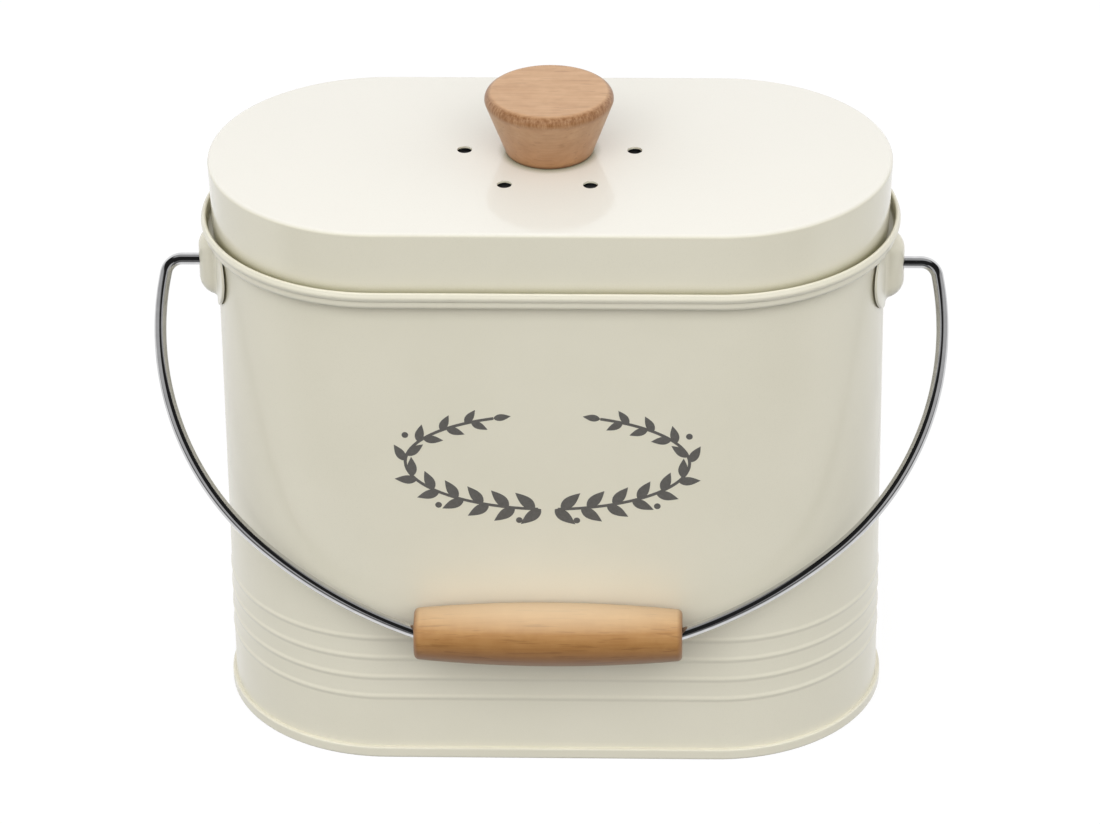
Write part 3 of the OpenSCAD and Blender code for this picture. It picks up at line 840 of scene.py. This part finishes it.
def grip_profile():
    swell = GRIP_MID_R - GRIP_END_R
    curve_r = (GRIP_HALF ** 2 + swell ** 2) / (2 * swell)
    edge_a = math.asin((GRIP_HALF - GRIP_EDGE_R) / (curve_r - GRIP_EDGE_R))
    edge_c = GRIP_MID_R - curve_r + (curve_r - GRIP_EDGE_R) * math.cos(edge_a)
    a = math.degrees(edge_a)
    end = GRIP_HALF - GRIP_EDGE_R
    return (
        [(GRIP_BORE_R, GRIP_MOUTH_DEPTH - GRIP_HALF), (GRIP_MOUTH_R, -GRIP_HALF)]
        + arc(edge_c, -end, GRIP_EDGE_R, -90, -a)
        + arc(GRIP_MID_R - curve_r, 0, curve_r, -a, a, GRIP_STEPS)
        + arc(edge_c, end, GRIP_EDGE_R, a, 90)
        + [(GRIP_MOUTH_R, GRIP_HALF), (GRIP_BORE_R, GRIP_HALF - GRIP_MOUTH_DEPTH)]
    )


def build_grip():
    def place(r, a, s):
        return (s, GRIP_AXIS.y + r * math.cos(a), GRIP_AXIS.z + r * math.sin(a))

    settle(revolve("grip_wood_turned", grip_profile(), place, closed=True), grip_wood, "grip",
           "grip_wood", "grip")


def knob_profile():
    """Foot edge, side and top edge, with the side tangent to both edges."""
    foot = Vector((KNOB_FOOT_R - KNOB_FOOT_EDGE_R, KNOB_FOOT_EDGE_R))
    top = Vector((KNOB_TOP_R - KNOB_EDGE_R, KNOB_H - KNOB_EDGE_R))
    way = top - foot
    side = math.degrees(math.atan2(way.y, way.x)
                        - math.acos((KNOB_FOOT_EDGE_R - KNOB_EDGE_R) / way.length))
    bore_r = insert_high.x
    bore_h = insert_high.z - insert_low.z
    return (
        [(0, bore_h), (bore_r, bore_h), (bore_r, 0)]
        + arc(*foot, KNOB_FOOT_EDGE_R, -90, side)
        + arc(*top, KNOB_EDGE_R, side, 90, 2 * BEND_STEPS)
        + [(0, KNOB_H)]
    )


def build_knob():
    def place(r, a, s):
        return (r * math.cos(a), r * math.sin(a), KNOB_Z + s)

    settle(revolve("knob_wood_turned", knob_profile(), place), knob_wood, "lid", "knob_wood",
           "knob")


# Inside

def bucket_profile():
    top_r = LIP_R - LIP_W
    low_c = top_r - BUCKET_DRAFT - BUCKET_FLOOR_R
    floor = bucket_low.z
    edge = BUCKET_T / 2
    return (
        [(0, floor)]
        + arc(low_c, floor + BUCKET_FLOOR_R, BUCKET_FLOOR_R, -90, 0)
        + [(top_r, LIP_Z - LIP_H - LIP_W), (LIP_R, LIP_Z - LIP_H)]
        + arc(LIP_R - edge, LIP_Z - edge, edge, 0, 90)
        + arc(top_r - BUCKET_T + edge / 2, LIP_Z - edge / 2, edge / 2, 90, 180)
        + arc(low_c, floor + BUCKET_FLOOR_R, BUCKET_FLOOR_R - BUCKET_T, 0, -90)
        + [(0, floor + BUCKET_T)]
    )


def build_inside():
    settle(oval_sweep("bucket_moulding", bucket_profile(), closed=False), bucket_plastic,
           "bucket", "bucket_plastic", "inner_bucket")
    hub_r = (filter_high.x - filter_low.x) / 2 - FELT_RING_W

    def place(r, a, s):
        return (r * math.cos(a), r * math.sin(a), s)

    outer = filter_high.x
    edge = FELT_EDGE_R
    profile = (
        arc(hub_r + edge, filter_low.z + edge, edge, 180, 270)
        + arc(outer - edge, filter_low.z + edge, edge, -90, 0)
        + arc(outer - edge, filter_high.z - edge, edge, 0, 90)
        + arc(hub_r + edge, filter_high.z - edge, edge, 90, 180)
    )
    settle(revolve("felt_disc", profile, place, closed=True), charcoal_felt, "lid",
           "filter_felt", "charcoal_filter")
    for node, material in (("filter_dish", dish_plastic), ("knob_insert", brass),
                           ("knob_screw", zinc), ("knob_washer", zinc)):
        mesh = frame["nodes"][node].data
        mesh.materials.clear()
        mesh.materials.append(material)


# Print on the front: an oval wreath of plain leaves with berries, in a flat layer of ink

WREATH_Z = 136 * MM
WREATH_HALF_W = 55 * MM
WREATH_HALF_H = 21 * MM
WREATH_FROM = -86
WREATH_TO = 68
INK_T = 0.05 * MM
STEM_W = 1.2 * MM
LEAF_L = 10.5 * MM
LEAF_W = 4.6 * MM
LEAF_PAIRS = 10
LEAF_ANGLE = math.radians(42)
LEAF_STAGGER_MM = 1.2
LEAF_TAPER = 0.35
LEAF_STEPS = 12
STEM_STEPS = 60
BERRY_R = 1.3 * MM
BERRY_OUT_MM = 5.4
BERRY_BACK_MM = 3.4
BERRY_EVERY = 3
BERRY_SIDES = 20
ANGLE_STEP = 0.01
RUN_STEPS = 400


def ink_point(p, layers=1):
    return (p.x, -WALL_R - layers * INK_T, p.y)


def stroke(bm, points, width):
    """A flat line of a width along points of (across, up), printed over the leaves' feet."""
    rows = []
    for i, p in enumerate(points):
        before = points[max(i - 1, 0)]
        after = points[min(i + 1, len(points) - 1)]
        side = (after - before).normalized().orthogonal() * width / 2
        rows.append([bm.verts.new(ink_point(q, 1.5)) for q in (p - side, p + side)])
    for a, b in zip(rows, rows[1:]):
        bm.faces.new((a[0], b[0], b[1], a[1]))


def leaf(bm, foot, out, size):
    """A plain pointed leaf from its foot, along a direction."""
    side = out.orthogonal()
    edge = [foot]
    for turn in (1, -1):
        for i in range(1, LEAF_STEPS):
            t = i / LEAF_STEPS if turn == 1 else 1 - i / LEAF_STEPS
            bulge = math.sin(math.pi * t ** 0.75) * LEAF_W / 2
            edge.append(foot + size * (out * LEAF_L * t + side * turn * bulge))
        if turn == 1:
            edge.append(foot + size * out * LEAF_L)
    bm.faces.new([bm.verts.new(ink_point(p)) for p in edge])


def berry(bm, centre):
    ring = [Vector(p) + centre
            for p in arc(0, 0, BERRY_R, 0, 360 - 360 / BERRY_SIDES, BERRY_SIDES - 1)]
    bm.faces.new([bm.verts.new(ink_point(p)) for p in ring])


def wreath_point(angle):
    return Vector((WREATH_HALF_W * math.cos(angle), WREATH_Z + WREATH_HALF_H * math.sin(angle)))


def even_angles(count):
    """Angles that step evenly along half of the wreath, from its foot to its tip."""
    angles = [math.radians(WREATH_FROM + (WREATH_TO - WREATH_FROM) * i / RUN_STEPS)
              for i in range(RUN_STEPS + 1)]
    run = [0.0]
    for a, b in zip(angles, angles[1:]):
        run.append(run[-1] + (wreath_point(b) - wreath_point(a)).length)
    out = []
    for k in range(count + 1):
        goal = run[-1] * k / count
        out.append(angles[min(range(RUN_STEPS + 1), key=lambda i: abs(run[i] - goal))])
    return out


def build_print():
    bm = bmesh.new()
    angles = even_angles(LEAF_PAIRS)
    for mirror in (1, -1):
        flip = Vector((mirror, 1))
        line = [wreath_point(a) * flip for a in even_angles(STEM_STEPS)]
        stroke(bm, line, STEM_W)
        for k, angle in enumerate(angles):
            foot = wreath_point(angle)
            along = wreath_point(angle + ANGLE_STEP) - wreath_point(angle - ANGLE_STEP)
            along.normalize()
            size = 1.0 - LEAF_TAPER * k / LEAF_PAIRS
            if k == LEAF_PAIRS:
                leaf(bm, foot * flip, along * flip, size)
                continue
            for rise in (1, -1):
                turned = along.copy()
                turned.rotate(Matrix.Rotation(rise * LEAF_ANGLE, 2))
                leaf(bm, (foot + along * LEAF_STAGGER_MM * MM * rise) * flip, turned * flip, size)
            if k % BERRY_EVERY == 1:
                out = Vector((along.y, -along.x))
                centre = foot + out * BERRY_OUT_MM * MM - along * BERRY_BACK_MM * MM
                berry(bm, centre * flip)
    flat = bm.faces[:]
    grown = bmesh.ops.extrude_face_region(bm, geom=flat)
    moved = [v for v in grown["geom"] if isinstance(v, bmesh.types.BMVert)]
    bmesh.ops.translate(bm, verts=moved, vec=(0, 2 * INK_T, 0))
    bmesh.ops.recalc_face_normals(bm, faces=bm.faces)
    settle(from_bmesh("front_print", bm), print_ink, "body", "body_paint")


# Stage, light and camera

def build_stage():
    bm = bmesh.new()
    marks = [FLOOR_HALF * (2 * i / FLOOR_STEPS - 1) for i in range(FLOOR_STEPS + 1)]
    rows = [[bm.verts.new((x, y, 0)) for x in marks] for y in marks]
    for j in range(FLOOR_STEPS):
        for i in range(FLOOR_STEPS):
            bm.faces.new((rows[j][i], rows[j][i + 1], rows[j + 1][i + 1], rows[j + 1][i]))
    floor = from_bmesh("floor", bm)
    s = Shader("floor_paper", Roughness=0.9, Specular_IOR_Level=0.0)
    seen = s.node("LightPath").outputs
    place = s.place()
    near = s.mix(1.0, s.fade(place["Y"], FLOOR_HIDDEN_Y, FLOOR_SHOWN_Y),
                 seen["Is Glossy Ray"], "MULTIPLY")
    shown = s.mix(1.0, s.mix(1.0, near, seen["Is Camera Ray"], "LIGHTEN"),
                  seen["Is Transmission Ray"], "LIGHTEN")
    floor.data.materials.append(s.set(
        Base_Color=s.ramp(s.noise(3, 2), (0.3, 0.115), (0.7, 0.125)),
        Emission_Color=(1, 1, 1, 1),
        Emission_Strength=s.range(shown, 0.0, FLOOR_GLOW),
    ))


def area_light(name, place, target, size, power):
    """A rectangular lamp that no reflection shows."""
    data = bpy.data.lights.new(name, "AREA")
    data.shape = "RECTANGLE"
    data.size, data.size_y = size
    data.energy = power
    lamp = bpy.data.objects.new(name, data)
    lamp.location = place
    lamp.rotation_mode = "QUATERNION"
    lamp.rotation_quaternion = (Vector(target) - Vector(place)).to_track_quat("-Z", "Y")
    lamp.visible_glossy = False
    bpy.context.scene.collection.objects.link(lamp)


def build_light():
    """A world that is white to the camera. Reflections see it white behind the object, grey at
    its sides and overhead, and dark in front, like the unlit side of a studio. It lights the
    object weakly from the front, and more from the sides and from behind."""
    world = bpy.data.worlds.new("studio")
    bpy.context.scene.world = world
    world.use_nodes = True
    n = Nodes(world.node_tree)
    seen = n.node("LightPath").outputs
    way = n.node("SeparateXYZ", Vector=n.node("TexCoord").outputs["Generated"]).outputs
    side = n.math("ABSOLUTE", way["X"])
    behind = n.fade(way["Y"], *REAR_EDGE, FRONT_GLOSS, REAR_GLOSS, smooth=True)
    cards = n.math("MULTIPLY", n.fade(side, *CARD_EDGE, 0.0, SIDE_GLOSS, smooth=True),
                   n.fade(way["Z"], *CARD_TOP, smooth=True))
    ceiling = n.fade(way["Z"], *CEILING_EDGE, 0.0, TOP_GLOSS, smooth=True)
    reflected = n.math("MAXIMUM", behind, n.math("MAXIMUM", cards, ceiling))
    fill = n.math("MAXIMUM", n.fade(side, *SIDE_SPAN, WORLD_FILL, SIDE_FILL),
                  n.fade(way["Y"], *REAR_SPAN, WORLD_FILL, REAR_FILL))
    mirrored = n.math("MAXIMUM", seen["Is Glossy Ray"], seen["Is Transmission Ray"])
    light = n.math("ADD", n.math("MULTIPLY", reflected, mirrored),
                   n.math("MULTIPLY", fill, n.math("SUBTRACT", 1.0, mirrored)))
    background = world.node_tree.nodes["Background"]
    n.feed(background.inputs["Strength"], n.math("MAXIMUM", seen["Is Camera Ray"], light))
    background.inputs["Color"].default_value = (1, 1, 1, 1)
    area_light("top_lamp", TOP_PLACE, LIT_POINT, TOP_SIZE, TOP_POWER)
    area_light("front_lamp", FRONT_PLACE, LIT_POINT, FRONT_SIZE, FRONT_POWER)


IMAGE_W = 1100
FOCAL_PX = 5472.3
CAMERA_ELEVATION = math.radians(29.74)
CAMERA_AZIMUTH = math.radians(2.14)
CAMERA_ROLL = math.radians(-0.719)
CAMERA_DISTANCE = 2.17907
CAMERA_TARGET = Vector((-0.00115, 0, 0.12132))
SENSOR = 36


def build_camera():
    data = bpy.data.cameras.new("camera")
    data.sensor_width = SENSOR
    data.sensor_fit = "HORIZONTAL"
    data.lens = FOCAL_PX / IMAGE_W * SENSOR
    camera = bpy.data.objects.new("camera", data)
    back = Vector((
        math.sin(CAMERA_AZIMUTH) * math.cos(CAMERA_ELEVATION),
        -math.cos(CAMERA_AZIMUTH) * math.cos(CAMERA_ELEVATION),
        math.sin(CAMERA_ELEVATION),
    ))
    place = CAMERA_TARGET + back * CAMERA_DISTANCE
    level_right = (-back).cross(Vector((0, 0, 1))).normalized()
    level_up = level_right.cross(-back)
    right = level_right * math.cos(CAMERA_ROLL) + level_up * math.sin(CAMERA_ROLL)
    up = level_up * math.cos(CAMERA_ROLL) - level_right * math.sin(CAMERA_ROLL)
    camera.matrix_world = matrix_from(right, up, back, place)
    data.clip_start, data.clip_end = 0.05, 50
    bpy.context.scene.collection.objects.link(camera)
    bpy.context.scene.camera = camera


def matrix_from(x, y, z, place):
    """A matrix with these columns."""
    rows = [[x[i], y[i], z[i], place[i]] for i in range(3)]
    return Matrix(rows + [[0, 0, 0, 1]])


build_body()
build_ears()
build_lid()
build_bail()
build_grip()
build_knob()
build_inside()
build_print()
build_stage()
build_light()
build_camera()
bpy.context.scene.view_settings.view_transform = "Standard"
